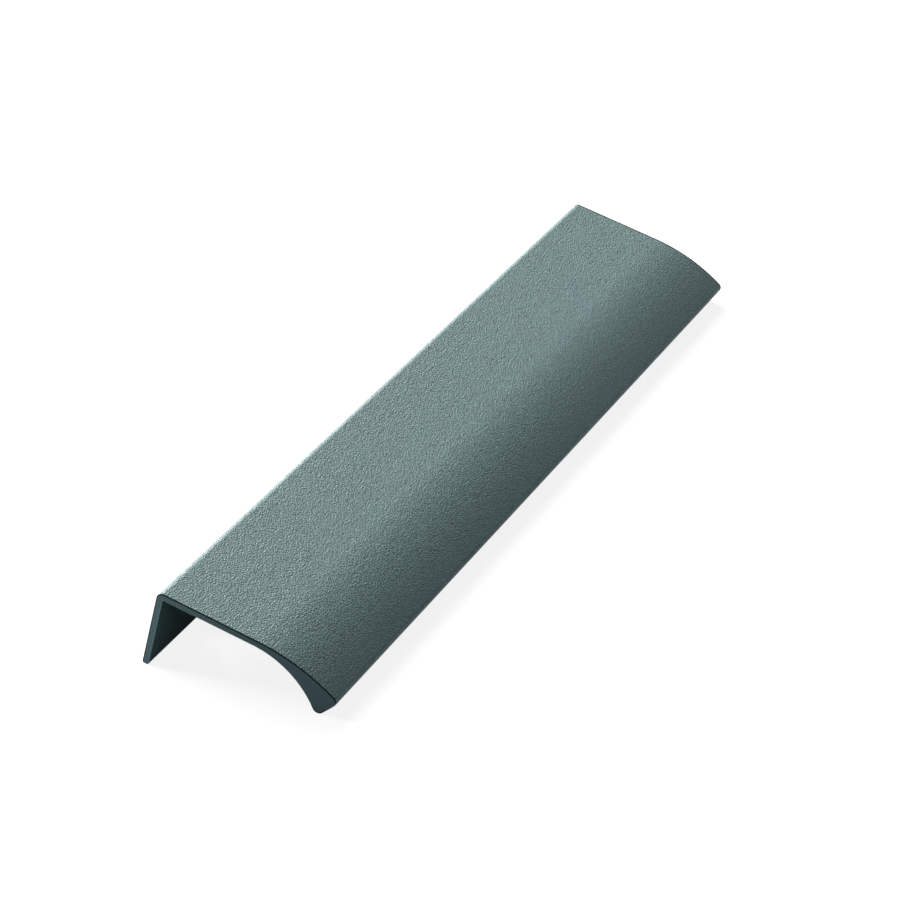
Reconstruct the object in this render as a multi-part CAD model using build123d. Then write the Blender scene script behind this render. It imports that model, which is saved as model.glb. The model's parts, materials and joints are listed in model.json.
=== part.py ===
from build123d import *
import os
from math import asin, atan2, degrees, hypot, radians, tan

# Edge pull: one straight length of extruded aluminium profile. Its section is a
# hook that goes over the edge of a door or drawer panel. A flange hangs behind
# the panel and takes the screws, a plate covers the panel's edge, and a lip
# curves down in front of it for the fingers.
# Sizes are millimetres and degrees. The section is given as it is mounted, with
# the plate level, in depth (0 at the flange's back, negative towards the lip)
# and height (0 at the plate's top face, negative down).

# Driving dimensions

length = 200.0

# flange behind the panel
flange_height = 17.6
flange_thickness = 1.4
foot_radius = 0.4
back_corner_radius = 1.5
inner_corner_radius = 0.3

# plate over the panel's edge
plate_depth = 22.0
plate_thickness = 1.48
underside_depth = 21.45

# lip in front of the panel
crown_radius = 40.6
crown_angle = 28.2
hollow_radius = 18.7
hollow_angle = 57.9
nose_bulge = 0.12
nose_radius = 1.2
tip_radius = 1.3

# countersunk holes for two 4 mm screws, through the flange from its back
screw_hole_diameter = 4.2
screw_hole_to_end = 20.0
screw_count = 2
countersink_diameter = 5.5
countersink_angle = 90.0

# broken edges of the sawn ends
end_edge_radius = 0.15


def section_outline():
    """Lines and arcs of the section with sharp corners, keyed by name."""
    back = Line((0, -flange_height), (0, 0))
    top = Line(back @ 1, (-plate_depth, 0))
    crown = JernArc(top @ 1, top % 1, crown_radius, crown_angle)
    foot = Line(back @ 0, (-flange_thickness, -flange_height))
    inner_face = Line(foot @ 1, (-flange_thickness, -plate_thickness))
    underside = Line(inner_face @ 1, (-underside_depth, -plate_thickness))
    hollow = JernArc(underside @ 1, underside % 1, hollow_radius, hollow_angle)
    nose_face = SagittaArc(hollow @ 1, crown @ 1, nose_bulge)
    return {
        "back": back,
        "top": top,
        "crown": crown,
        "nose_face": nose_face,
        "hollow": hollow,
        "underside": underside,
        "inner_face": inner_face,
        "foot": foot,
    }


def section_face(outline):
    """The section as a face, with its corners rounded."""
    foot_rounding = min(foot_radius, 0.45 * flange_thickness)
    roundings = [
        (outline["back"] @ 0, foot_rounding),
        (outline["back"] @ 1, back_corner_radius),
        (outline["crown"] @ 1, nose_radius),
        (outline["hollow"] @ 1, tip_radius),
        (outline["foot"] @ 1, foot_rounding),
        (outline["underside"] @ 0, inner_corner_radius),
    ]
    face = make_face(list(outline.values()))
    for corner, radius in roundings:
        face = fillet(face.vertices().sort_by_distance(corner)[0], radius)
    return face


def contact_circle(face, corner):
    """Centre and radius of the rounding that replaced a sharp corner."""
    rounding = face.edges().filter_by(GeomType.CIRCLE).sort_by_distance(corner)[0]
    return rounding.arc_center, rounding.radius


def rest_pose(foot_circle, tip_circle):
    """Turn about the length, and height of the section's zero above the floor.

    Off its panel the profile stands on the foot's front rounding and on the
    lip's tip, so the floor is the line that touches both circles from below.
    """
    foot_centre, foot_r = foot_circle
    tip_centre, tip_r = tip_circle
    between = foot_centre - tip_centre
    slope = atan2(between.Y, between.X)
    turn = degrees(asin((foot_r - tip_r) / hypot(between.X, between.Y)) - slope)
    lowest = tip_centre.rotate(Axis.Z, turn).Y - tip_r
    return turn, -lowest


def extruded_profile(face):
    """The section drawn out to its length, centred on it, running along X."""
    return extrude(Plane.YZ * face, amount=length / 2, both=True)


def screw_hole_cutters():
    """Drill and countersink in one, for each hole of the row along the flange."""
    mid_height = -(flange_height + plate_thickness) / 2
    back_face = Plane(origin=(0, 0, mid_height), x_dir=(1, 0, 0), z_dir=(0, 1, 0))
    sink_width = (countersink_diameter - screw_hole_diameter) / 2
    sink_depth = sink_width / tan(radians(countersink_angle / 2))
    drill = Cylinder(screw_hole_diameter / 2, 4 * flange_thickness)
    sink = Cone(
        screw_hole_diameter / 2,
        countersink_diameter / 2,
        sink_depth,
        align=(Align.CENTER, Align.CENTER, Align.MAX),
    )
    pitch = (length - 2 * screw_hole_to_end) / (screw_count - 1)
    row = GridLocations(pitch, 0, screw_count, 1)
    return [back_face * place * (drill + sink) for place in row]


def pull_profile():
    outline = section_outline()
    face = section_face(outline)
    body = extruded_profile(face) - screw_hole_cutters()
    ends = body.faces().filter_by(Axis.X)
    body = fillet(ends.edges(), end_edge_radius)
    turn, height = rest_pose(
        contact_circle(face, outline["foot"] @ 1),
        contact_circle(face, outline["hollow"] @ 1),
    )
    body = Pos(0, 0, height) * Rot(turn, 0, 0) * body
    return Pos(0, -body.bounding_box().center().Y, 0) * body


os.makedirs("parts", exist_ok=True)
export_step(pull_profile(), "parts/pull_profile.step")
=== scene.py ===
import json
from math import atan2, cos, pi, radians, sin, sqrt, tan

import bpy
from mathutils import Matrix, Vector


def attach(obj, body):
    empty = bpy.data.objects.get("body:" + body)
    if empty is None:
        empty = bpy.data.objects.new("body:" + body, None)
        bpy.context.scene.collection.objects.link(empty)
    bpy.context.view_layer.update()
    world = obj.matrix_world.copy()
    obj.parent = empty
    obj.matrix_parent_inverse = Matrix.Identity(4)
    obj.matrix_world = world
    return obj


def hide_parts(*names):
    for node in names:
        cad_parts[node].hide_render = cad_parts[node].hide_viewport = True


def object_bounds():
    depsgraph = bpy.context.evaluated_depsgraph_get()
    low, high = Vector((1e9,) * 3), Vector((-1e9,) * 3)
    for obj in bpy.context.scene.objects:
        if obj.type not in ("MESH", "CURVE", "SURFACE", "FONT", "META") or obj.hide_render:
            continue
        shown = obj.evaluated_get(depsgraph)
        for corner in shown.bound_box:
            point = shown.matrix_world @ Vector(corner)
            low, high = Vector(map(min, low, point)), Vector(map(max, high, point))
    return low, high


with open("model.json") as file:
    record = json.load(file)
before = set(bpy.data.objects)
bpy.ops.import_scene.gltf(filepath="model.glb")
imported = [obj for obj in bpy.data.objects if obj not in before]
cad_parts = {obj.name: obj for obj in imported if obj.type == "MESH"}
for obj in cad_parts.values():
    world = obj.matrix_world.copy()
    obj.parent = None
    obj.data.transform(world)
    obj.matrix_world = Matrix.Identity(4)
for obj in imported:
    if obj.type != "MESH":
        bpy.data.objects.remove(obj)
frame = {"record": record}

cad_low, cad_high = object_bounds()


# Camera
# A long lens looks down the length of the pull from its near end, a little to
# the lip's side. Place, turn and lens are those at which every outline of the
# solid falls on the photograph's.

camera_place = Vector((-0.565607, -0.258525, 0.350851))
camera_heading = radians(65.227)
camera_fall = radians(29.193)
camera_roll = radians(1.400)
camera_lens = 132.045
camera_sensor = 36.0
nearest_seen = 0.01
farthest_seen = 20.0

camera_data = bpy.data.cameras.new("camera")
camera_data.lens = camera_lens
camera_data.sensor_width = camera_sensor
camera_data.clip_start = nearest_seen
camera_data.clip_end = farthest_seen
camera = bpy.data.objects.new("camera", camera_data)
bpy.context.scene.collection.objects.link(camera)
camera_turn = (
    Matrix.Rotation(-camera_heading, 4, "Z")
    @ Matrix.Rotation(pi / 2 - camera_fall, 4, "X")
    @ Matrix.Rotation(camera_roll, 4, "Z")
)
camera.matrix_world = Matrix.Translation(camera_place) @ camera_turn
bpy.context.scene.camera = camera


# Pull profile
# One length of extruded aluminium with a hooked section, sawn to length, its
# edges broken and two screw holes countersunk in the flange. It is drawn round
# its section as mounted, plate level, and then laid down on foot and lip.

flange_height = 0.0176
flange_thickness = 0.0014
foot_radius = 0.0004
back_corner_radius = 0.0015
inner_corner_radius = 0.0003
plate_depth = 0.0220
plate_thickness = 0.00148
underside_depth = 0.02145
crown_radius = 0.0406
crown_angle = radians(28.2)
hollow_radius = 0.0187
hollow_angle = radians(57.9)
nose_bulge = 0.00012
nose_radius = 0.0012
tip_radius = 0.0013
end_edge_radius = 0.00015
thin_coat_width = 0.00012
screw_hole_radius = 0.0021
countersink_radius = 0.00275
countersink_slope = radians(45.0)
profile_length = cad_high.x - cad_low.x

CORNER_STEPS = 18
CROWN_STEPS = 44
NOSE_STEPS = 16
FACE_STEPS = 10
HOLLOW_STEPS = 56
FOOT_STEPS = 6
HOLE_SIDES = 64
EDGE_STEPS = 3
MERGE = 1e-7


def deselect_all():
    if bpy.context.mode != "OBJECT":
        bpy.ops.object.mode_set(mode="OBJECT")
    bpy.ops.object.select_all(action="DESELECT")


def section_point(y, z):
    return Vector((0.0, y, z))


def turned(point, centre, turn):
    return centre + Matrix.Rotation(turn, 3, "X") @ (point - centre)


def bearing(vector):
    return atan2(vector.z, vector.y)


def meeting_point(first, first_reach, second, second_reach, near):
    """The point at given reaches from two centres, on the side of a third point."""
    way = (second - first).normalized()
    gap = (second - first).length
    along = (first_reach**2 - second_reach**2 + gap**2) / (2 * gap)
    aside = turned(way, Vector(), pi / 2) * sqrt(first_reach**2 - along**2)
    foot = first + way * along
    return min(foot + aside, foot - aside, key=lambda point: (point - near).length)


def run_to(point, at):
    """Extrudes the drawn edge straight to a point of the section."""
    bpy.ops.mesh.extrude_edges_move(TRANSFORM_OT_translate={"value": point - at})
    return point


def bend(centre, turn, steps, at):
    """Spins the drawn edge about a centre of the section, positive from back to lip."""
    bpy.ops.mesh.spin(steps=steps, angle=-turn, center=centre, axis=(1, 0, 0))
    return turned(at, centre, turn)


# The nose's two roundings touch the arcs of crown, face and hollow on either side.
crown_start = section_point(-plate_depth, 0)
crown_centre = section_point(-plate_depth, -crown_radius)
hollow_start = section_point(-underside_depth, -plate_thickness)
hollow_centre = section_point(-underside_depth, -plate_thickness - hollow_radius)
nose_corner = turned(crown_start, crown_centre, crown_angle)
tip_corner = turned(hollow_start, hollow_centre, hollow_angle)
face_chord = nose_corner - tip_corner
face_radius = (face_chord.length_squared / 4 + nose_bulge**2) / (2 * nose_bulge)
face_out = turned(face_chord.normalized(), Vector(), pi / 2)
face_centre = (nose_corner + tip_corner) / 2 - face_out * (face_radius - nose_bulge)
nose_centre = meeting_point(
    crown_centre, crown_radius - nose_radius, face_centre, face_radius - nose_radius, nose_corner
)
tip_centre = meeting_point(
    hollow_centre, hollow_radius + tip_radius, face_centre, face_radius - tip_radius, tip_corner
)
crown_end = bearing(nose_centre - crown_centre)
face_start = bearing(nose_centre - face_centre) % (2 * pi)
face_end = bearing(tip_centre - face_centre) % (2 * pi)
tip_end = bearing(hollow_centre - tip_centre) % (2 * pi)
hollow_end = bearing(tip_centre - hollow_centre)

# A plane as long as the profile shrinks to one edge, which then draws the outline.
deselect_all()
at = section_point(0, -flange_height + foot_radius)
bpy.ops.mesh.primitive_plane_add(size=profile_length, location=at)
pull = bpy.context.object
pull.name = "coated_profile"
bpy.ops.object.transform_apply(location=True, rotation=True, scale=True)
bpy.ops.object.mode_set(mode="EDIT")
bpy.ops.mesh.select_all(action="SELECT")
bpy.ops.transform.resize(value=(1, 0, 1), center_override=at)
bpy.ops.mesh.remove_doubles(threshold=MERGE)
bpy.ops.mesh.select_all(action="SELECT")

at = run_to(section_point(0, -back_corner_radius), at)
at = bend(section_point(-back_corner_radius, -back_corner_radius), pi / 2, CORNER_STEPS, at)
at = run_to(crown_start, at)
at = bend(crown_centre, crown_end - pi / 2, CROWN_STEPS, at)
at = bend(nose_centre, face_start - crown_end, NOSE_STEPS, at)
at = bend(face_centre, face_end - face_start, FACE_STEPS, at)
at = bend(tip_centre, tip_end - face_end, NOSE_STEPS, at)
at = bend(hollow_centre, pi / 2 - hollow_end, HOLLOW_STEPS, at)
inner_corner = section_point(
    -flange_thickness - inner_corner_radius, -plate_thickness - inner_corner_radius
)
at = run_to(inner_corner + section_point(0, inner_corner_radius), at)
at = bend(inner_corner, -pi / 2, FOOT_STEPS, at)
at = run_to(section_point(-flange_thickness, -flange_height + foot_radius), at)
foot_front = section_point(-flange_thickness + foot_radius, -flange_height + foot_radius)
at = bend(foot_front, pi / 2, FOOT_STEPS, at)
at = run_to(section_point(-foot_radius, -flange_height), at)
foot_back = section_point(-foot_radius, -flange_height + foot_radius)
bend(foot_back, pi / 2, FOOT_STEPS, at)
bpy.ops.mesh.select_all(action="SELECT")
bpy.ops.mesh.remove_doubles(threshold=MERGE)

# The sawn ends close the outline, and their edges are broken.
bpy.ops.mesh.select_all(action="SELECT")
bpy.ops.mesh.fill_holes(sides=0)
bpy.ops.mesh.select_all(action="SELECT")
bpy.ops.mesh.normals_make_consistent(inside=False)


def select_ends():
    """Selects the two sawn end faces, in edit mode."""
    square_on = 0.99
    bpy.ops.mesh.select_mode(type="FACE")
    bpy.ops.mesh.select_all(action="DESELECT")
    bpy.ops.object.mode_set(mode="OBJECT")
    for face in pull.data.polygons:
        face.select = abs(face.normal.x) > square_on
    bpy.ops.object.mode_set(mode="EDIT")


select_ends()
bpy.ops.mesh.region_to_loop()
bpy.ops.mesh.bevel(
    offset=end_edge_radius, segments=EDGE_STEPS, profile=0.5, affect="EDGES", clamp_overlap=False
)
select_ends()
bpy.ops.mesh.inset(thickness=thin_coat_width, use_even_offset=True)

# A cut near the far end gives a thin strip along its outer edge, which takes painted shade, a dark
# line.
far_line = profile_length / 2 - end_edge_radius - 3 * thin_coat_width
bpy.ops.mesh.select_all(action="SELECT")
bpy.ops.mesh.bisect(plane_co=(far_line, 0, 0), plane_no=(1, 0, 0))
deselect_all()

# Each screw hole is cut by a countersink drawn out to a drill.
sink_depth = (countersink_radius - screw_hole_radius) / tan(countersink_slope)
cutter_proud = 0.001
cutter_reach = 3 * flange_thickness
row = frame["record"]["mounts"][0]
hole_count = row["dims"]["count"]
hole_pitch = row["dims"]["pcd_mm"] / 1000 / (hole_count - 1)
hole_height = -(flange_height + plate_thickness) / 2
mouth_radius = countersink_radius + cutter_proud * tan(countersink_slope)
narrowing = screw_hole_radius / mouth_radius

for number in range(hole_count):
    hole_x = (number - (hole_count - 1) / 2) * hole_pitch
    bpy.ops.mesh.primitive_circle_add(
        vertices=HOLE_SIDES,
        radius=mouth_radius,
        fill_type="NGON",
        location=(hole_x, cutter_proud, hole_height),
        rotation=(pi / 2, 0, 0),
    )
    cutter = bpy.context.object
    bpy.ops.object.mode_set(mode="EDIT")
    bpy.ops.mesh.select_all(action="SELECT")
    bpy.ops.mesh.extrude_region_move(
        TRANSFORM_OT_translate={"value": (0, -cutter_proud - sink_depth, 0)}
    )
    bpy.ops.transform.resize(
        value=(narrowing, 1, narrowing), center_override=(hole_x, -sink_depth, hole_height)
    )
    bpy.ops.mesh.extrude_region_move(TRANSFORM_OT_translate={"value": (0, -cutter_reach, 0)})
    bpy.ops.mesh.select_all(action="SELECT")
    bpy.ops.mesh.normals_make_consistent(inside=False)
    deselect_all()
    pull.select_set(True)
    bpy.context.view_layer.objects.active = pull
    cut = pull.modifiers.new("screw_hole", "BOOLEAN")
    cut.operation = "DIFFERENCE"
    cut.solver = "EXACT"
    cut.object = cutter
    bpy.ops.object.modifier_apply(modifier=cut.name)
    bpy.data.objects.remove(cutter, do_unlink=True)

# Finish by face: the outside, the sawn ends, the edges that were broken round
# the ends, and the inside of the hook. Round an end and by the tip the outer edge
# takes painted shade, near black, and round an end the inner edge painted light, pale.
OUTSIDE, END, SHADED_OUTER_EDGE, LIT_INNER_EDGE, INSIDE = range(5)
rim_width = 2 * (end_edge_radius + thin_coat_width)
flange_zone = -3 * flange_thickness
a_trace = 0.01
aslant = 0.05
end_on = 0.999
for face in pull.data.polygons:
    endways = abs(face.normal.x)
    place = section_point(face.center.y, face.center.z)
    by_crown = (place - crown_centre).length > crown_radius - rim_width
    by_top = place.z > -rim_width or place.y > -rim_width
    by_rim = by_top if place.y > -plate_depth else by_crown
    by_tip = place.y < -plate_depth and place.z < tip_centre.z
    faces_down = face.normal.z < -a_trace and place.y > tip_centre.y
    faces_panel = face.normal.y < -a_trace and place.y > flange_zone
    # Outer edges take painted shade, inner edges round the ends painted light.
    if (by_rim and face.center.x > far_line) or (endways > aslant and (by_rim or by_tip)):
        face.material_index = SHADED_OUTER_EDGE
    elif endways > aslant:
        face.material_index = END if endways > end_on else LIT_INNER_EDGE
    else:
        face.material_index = INSIDE if faces_down or faces_panel else OUTSIDE

# It is laid on its foot and its tip, as the row's own seat says.
smooth_below = radians(35)
seat = frame["record"]["mounts"][1]
seat_place = Vector(seat["pos_m"])
rest_turn = bearing(-Vector(seat["axis"]))
seat_in_section = section_point(-flange_thickness, hole_height)
pull.matrix_world = (
    Matrix.Translation(seat_place)
    @ Matrix.Rotation(rest_turn, 4, "X")
    @ Matrix.Translation(-seat_in_section)
)
bpy.ops.object.transform_apply(location=True, rotation=True, scale=True)
bpy.ops.object.shade_smooth_by_angle(angle=smooth_below)
pull.modifiers.new("even_shading", "WEIGHTED_NORMAL").keep_sharp = True
bpy.ops.object.modifier_apply(modifier="even_shading")


def new_tree(material_name):
    """A new material with an empty tree, its output and its Principled shader."""
    material = bpy.data.materials.new(material_name)
    material.use_nodes = True
    tree = material.node_tree
    tree.nodes.clear()
    output = tree.nodes.new("ShaderNodeOutputMaterial")
    shader = tree.nodes.new("ShaderNodeBsdfPrincipled")
    tree.links.new(shader.outputs["BSDF"], output.inputs["Surface"])
    return material, tree, shader


def put(tree, kind, **values):
    """Adds a node, sets its own settings, and feeds or sets its inputs by name."""
    node = tree.nodes.new(kind)
    for name, value in values.items():
        label = name.replace("_", " ")
        if hasattr(node, name):
            setattr(node, name, value)
        elif isinstance(value, bpy.types.NodeSocket):
            tree.links.new(value, node.inputs[label])
        else:
            node.inputs[label].default_value = value
    return node


def reckon(tree, operation, first, second):
    """A Math node on two sockets or numbers."""
    node = tree.nodes.new("ShaderNodeMath")
    node.operation = operation
    for socket, value in zip(node.inputs, (first, second)):
        if isinstance(value, bpy.types.NodeSocket):
            tree.links.new(value, socket)
        else:
            socket.default_value = value
    return node.outputs["Value"]


def blend_colours(tree, share, first, second):
    """A colour Mix node between two sockets or colours."""
    node = tree.nodes.new("ShaderNodeMix")
    node.data_type = "RGBA"
    for name, value in (("Factor_Float", share), ("A_Color", first), ("B_Color", second)):
        socket = next(s for s in node.inputs if s.identifier == name)
        if isinstance(value, bpy.types.NodeSocket):
            tree.links.new(value, socket)
        else:
            socket.default_value = value
    return next(s for s in node.outputs if s.identifier == "Result_Color")


def new_group(name, inputs, outputs):
    """A node group with number inputs given as name and value, and number outputs by name."""
    group = bpy.data.node_groups.new(name, "ShaderNodeTree")
    for label, value in inputs.items():
        socket = group.interface.new_socket(label, in_out="INPUT", socket_type="NodeSocketFloat")
        socket.default_value = value
    for label in outputs:
        group.interface.new_socket(label, in_out="OUTPUT", socket_type="NodeSocketFloat")
    entry = group.nodes.new("NodeGroupInput")
    leave = group.nodes.new("NodeGroupOutput")
    return group, entry.outputs, leave.inputs


def place_group(tree, group, **values):
    """Places a node group with its own values, and gives its outputs."""
    node = tree.nodes.new("ShaderNodeGroup")
    node.node_tree = group
    for label, value in values.items():
        node.inputs[label].default_value = value
    return node.outputs


# Powder that melts and shrinks draws up in small grains. Shade is painted shade
# and light in the colour: how far a spot stands out from those about it, since
# light reaches a top and not a pit. Along the lip's nose, where little light falls,
# less of that painted shade goes in; the grain's relief stays the same.
lip_shade_fade_width = 0.0062
lip_shade_fade_share = 0.4
ways_about = ((1, 1, 1), (1, -1, -1), (-1, 1, -1), (-1, -1, 1))
coat_grain, given, result = new_group(
    "coat_grain",
    {"Grains per metre": 3000.0, "Reach": 0.00014, "Contrast": 1.0},
    ("Height", "Shade"),
)
spot = put(coat_grain, "ShaderNodeTexCoord").outputs["Object"]


def grain_height(place):
    return put(
        coat_grain, "ShaderNodeTexNoise", Vector=place, Scale=given["Grains per metre"], Detail=0.0
    ).outputs["Fac"]


height = grain_height(spot)
coat_grain.links.new(height, result["Height"])
around = 0.0
for way in ways_about:
    aside = put(coat_grain, "ShaderNodeVectorMath", operation="SCALE")
    aside.inputs[0].default_value = way
    coat_grain.links.new(given["Reach"], aside.inputs["Scale"])
    place = put(coat_grain, "ShaderNodeVectorMath", operation="ADD")
    coat_grain.links.new(spot, place.inputs[0])
    coat_grain.links.new(aside.outputs["Vector"], place.inputs[1])
    around = reckon(coat_grain, "ADD", around, grain_height(place.outputs["Vector"]))
around = reckon(coat_grain, "DIVIDE", around, float(len(ways_about)))
stands_out = reckon(coat_grain, "SUBTRACT", height, around)
depth = put(coat_grain, "ShaderNodeSeparateXYZ", Vector=spot).outputs["Y"]
grain_shade_share = put(
    coat_grain,
    "ShaderNodeMapRange",
    Value=depth,
    From_Min=cad_low.y,
    From_Max=cad_low.y + lip_shade_fade_width,
    To_Min=lip_shade_fade_share,
).outputs["Result"]
# Less painted grain shade towards the lip's nose, where little light falls.
stands_out = reckon(coat_grain, "MULTIPLY", stands_out, grain_shade_share)
stands_out = reckon(coat_grain, "MULTIPLY", stands_out, given["Contrast"])
coat_grain.links.new(reckon(coat_grain, "ADD", stands_out, 1.0), result["Shade"])

# The pigment clouds a little, and the gloss swings from spot to spot.
coat_tone, given, result = new_group(
    "coat_tone",
    {"Clouds per metre": 90.0, "Spots per metre": 900.0, "Roughness": 0.5, "Swing": 0.0},
    ("Clouds", "Roughness"),
)
spot = put(coat_tone, "ShaderNodeTexCoord").outputs["Object"]
clouds = put(
    coat_tone, "ShaderNodeTexNoise", Vector=spot, Scale=given["Clouds per metre"], Detail=2.0
).outputs["Fac"]
clouds = put(coat_tone, "ShaderNodeMapRange", Value=clouds, From_Min=0.35, From_Max=0.65)
coat_tone.links.new(clouds.outputs["Result"], result["Clouds"])
gloss = put(
    coat_tone, "ShaderNodeTexNoise", Vector=spot, Scale=given["Spots per metre"], Detail=2.0
).outputs["Fac"]
gloss = put(
    coat_tone, "ShaderNodeMapRange", Value=gloss, From_Min=0.3, From_Max=0.7, To_Min=-1.0
).outputs["Result"]
swing = reckon(coat_tone, "MULTIPLY", gloss, given["Swing"])
coat_tone.links.new(reckon(coat_tone, "ADD", swing, given["Roughness"]), result["Roughness"])

coat_ior = 1.45
coat_blue = (0.0985, 0.1595, 0.1640, 1.0)
coat_green = (0.0998, 0.1600, 0.1610, 1.0)
# Painted light: the sawn ends are coloured paler and bluer than the outer coat.
end_lit_blue = (0.1060, 0.1740, 0.1930, 1.0)
end_lit_green = (0.1075, 0.1750, 0.1900, 1.0)
# Painted shade: the outer edge round the ends and by the tip is coloured near black.
outer_edge_shade_blue = (0.018, 0.030, 0.034, 1.0)
outer_edge_shade_green = (0.019, 0.031, 0.033, 1.0)
# Painted light: the inner edge round the ends is coloured pale, as if lit from the floor.
inner_edge_lit_blue = (0.190, 0.310, 0.335, 1.0)
inner_edge_lit_green = (0.193, 0.312, 0.330, 1.0)


def coat(name, blue, green, contrast, roughness, swing, gloss_level, relief):
    """Powder coat with its clouding, its grain and the painted shade of its grain, and the swing
    of its gloss.
    """
    material, tree, shader = new_tree(name)
    grain = place_group(tree, coat_grain, Contrast=contrast)
    tone = place_group(tree, coat_tone, Roughness=roughness, Swing=swing)
    clouded = blend_colours(tree, tone["Clouds"], blue, green)
    # The grain's painted shade darkens the pits and lightens the tops in the colour.
    shaded = put(tree, "ShaderNodeHueSaturation", Color=clouded, Value=grain["Shade"])
    tree.links.new(shaded.outputs["Color"], shader.inputs["Base Color"])
    tree.links.new(tone["Roughness"], shader.inputs["Roughness"])
    bump = put(tree, "ShaderNodeBump", Height=grain["Height"], Distance=relief)
    tree.links.new(bump.outputs["Normal"], shader.inputs["Normal"])
    shader.inputs["IOR"].default_value = coat_ior
    shader.inputs["Specular IOR Level"].default_value = gloss_level
    material.diffuse_color = blue
    pull.data.materials.append(material)


# In the order of the finishes by face.
coat(
    "outer_coat",
    coat_blue,
    coat_green,
    contrast=2.4,
    roughness=0.50,
    swing=0.06,
    gloss_level=0.25,
    relief=0.00014,
)
# Painted light on the sawn ends, paler than the outer coat.
coat(
    "end_coat_lit",
    end_lit_blue,
    end_lit_green,
    contrast=0.3,
    roughness=0.60,
    swing=0.03,
    gloss_level=0.20,
    relief=0.00001,
)
# Painted shade on the outer edges.
coat(
    "outer_edge_painted_shade",
    outer_edge_shade_blue,
    outer_edge_shade_green,
    contrast=0.3,
    roughness=0.80,
    swing=0.03,
    gloss_level=0.05,
    relief=0.00001,
)
# Painted light on the inner edges.
coat(
    "inner_edge_painted_light",
    inner_edge_lit_blue,
    inner_edge_lit_green,
    contrast=0.3,
    roughness=0.60,
    swing=0.03,
    gloss_level=0.20,
    relief=0.00001,
)
coat(
    "inner_coat",
    coat_blue,
    coat_green,
    contrast=0.9,
    roughness=0.80,
    swing=0.03,
    gloss_level=0.01,
    relief=0.00003,
)

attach(pull, "root")
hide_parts("pull_profile")


# Floor
# A plain pale sheet, dark to the light that bounces, so the hollow under the
# plate keeps its depth, and near white to the camera and to gloss.

floor_size = 6.0
floor_to_bounces = (0.16, 0.16, 0.16, 1.0)
floor_to_camera = (0.3, 0.3, 0.3, 1.0)
floor_glow = 0.85
white = (1.0, 1.0, 1.0, 1.0)


def seen(tree):
    """1 for a ray that the camera sees, straight or by gloss or glass, and 0 for others."""
    path = put(tree, "ShaderNodeLightPath").outputs
    either = reckon(tree, "ADD", path["Is Camera Ray"], path["Is Glossy Ray"])
    return reckon(tree, "ADD", either, path["Is Transmission Ray"])


deselect_all()
bpy.ops.mesh.primitive_plane_add(size=floor_size, location=(0, 0, cad_low.z))
floor = bpy.context.object
floor.name = "floor"

floor_material = bpy.data.materials.new("pale_floor")
floor_material.use_nodes = True
tree = floor_material.node_tree
tree.nodes.clear()
by_camera = seen(tree)
floor_colour = blend_colours(tree, by_camera, floor_to_bounces, floor_to_camera)
sheet = put(tree, "ShaderNodeBsdfDiffuse", Color=floor_colour).outputs["BSDF"]
glow_strength = reckon(tree, "MULTIPLY", by_camera, floor_glow)
glow = put(tree, "ShaderNodeEmission", Color=white, Strength=glow_strength).outputs["Emission"]
both = tree.nodes.new("ShaderNodeAddShader")
tree.links.new(sheet, both.inputs[0])
tree.links.new(glow, both.inputs[1])
floor_end = tree.nodes.new("ShaderNodeOutputMaterial")
tree.links.new(both.outputs["Shader"], floor_end.inputs["Surface"])
floor.data.materials.append(floor_material)


# Light
# Three large soft lamps stand low behind the flange, so that the flat lies in
# grazing light and the lip falls off into shade. Two weak ones and a narrow spot
# fill the lip and the near end. The room is white to the camera and to gloss.

room_grey = (0.02, 0.02, 0.02, 1.0)
lamp_distance = 1.5
lamp_size = 0.8
warm_white = (0.99, 1.0, 0.98)
cool_white = (0.92, 1.0, 1.06)
blue_white = (0.92, 1.0, 1.16)
pale_cyan = (0.96, 1.0, 1.0)

world = bpy.data.worlds.new("room")
bpy.context.scene.world = world
world.use_nodes = True
tree = world.node_tree
tree.nodes.clear()
room_colour = blend_colours(tree, seen(tree), room_grey, white)
room = put(tree, "ShaderNodeBackground", Color=room_colour, Strength=1.0).outputs["Background"]
world_end = tree.nodes.new("ShaderNodeOutputWorld")
tree.links.new(room, world_end.inputs["Surface"])


def lamp_on(name, kind, aim, distance, heading, rise, power, colour):
    """A lamp aimed at a place, set off from it by its heading from +X, rise and distance."""
    data = bpy.data.lights.new(name, kind)
    data.color = colour
    data.energy = power
    lamp = bpy.data.objects.new(name, data)
    bpy.context.scene.collection.objects.link(lamp)
    way = Vector((cos(heading) * cos(rise), sin(heading) * cos(rise), sin(rise)))
    lamp.location = aim + way * distance
    lamp.rotation_euler = way.to_track_quat("Z", "Y").to_euler()
    return data


def soft_lamp(name, heading, rise, power, colour):
    data = lamp_on(name, "AREA", Vector(), lamp_distance, heading, rise, power, colour)
    data.size = lamp_size


soft_lamp("back_key", heading=radians(60), rise=radians(24), power=37.0, colour=warm_white)
soft_lamp("back_side", heading=radians(90), rise=radians(22), power=30.5, colour=warm_white)
soft_lamp("far_top", heading=radians(40), rise=radians(36), power=22.4, colour=warm_white)
soft_lamp("near_fill", heading=radians(195), rise=radians(30), power=2.2, colour=cool_white)
soft_lamp("lip_fill", heading=radians(262), rise=radians(6), power=3.4, colour=blue_white)

# The spot is aimed beside the flange, so that its light fades towards the lip.
spot_distance = 0.6
spot_reach = 0.024
spot_aside = 0.006
spot_softness = 0.01
end_spot = lamp_on(
    "end_spot",
    "SPOT",
    Vector((cad_low.x, cad_high.y + spot_aside, cad_high.z / 2)),
    spot_distance,
    heading=radians(188),
    rise=radians(7),
    power=3.3,
    colour=pale_cyan,
)
end_spot.spot_size = 2 * atan2(spot_reach, spot_distance)
end_spot.spot_blend = 1.0
end_spot.shadow_soft_size = spot_softness


bpy.context.scene.view_settings.view_transform = "Standard"
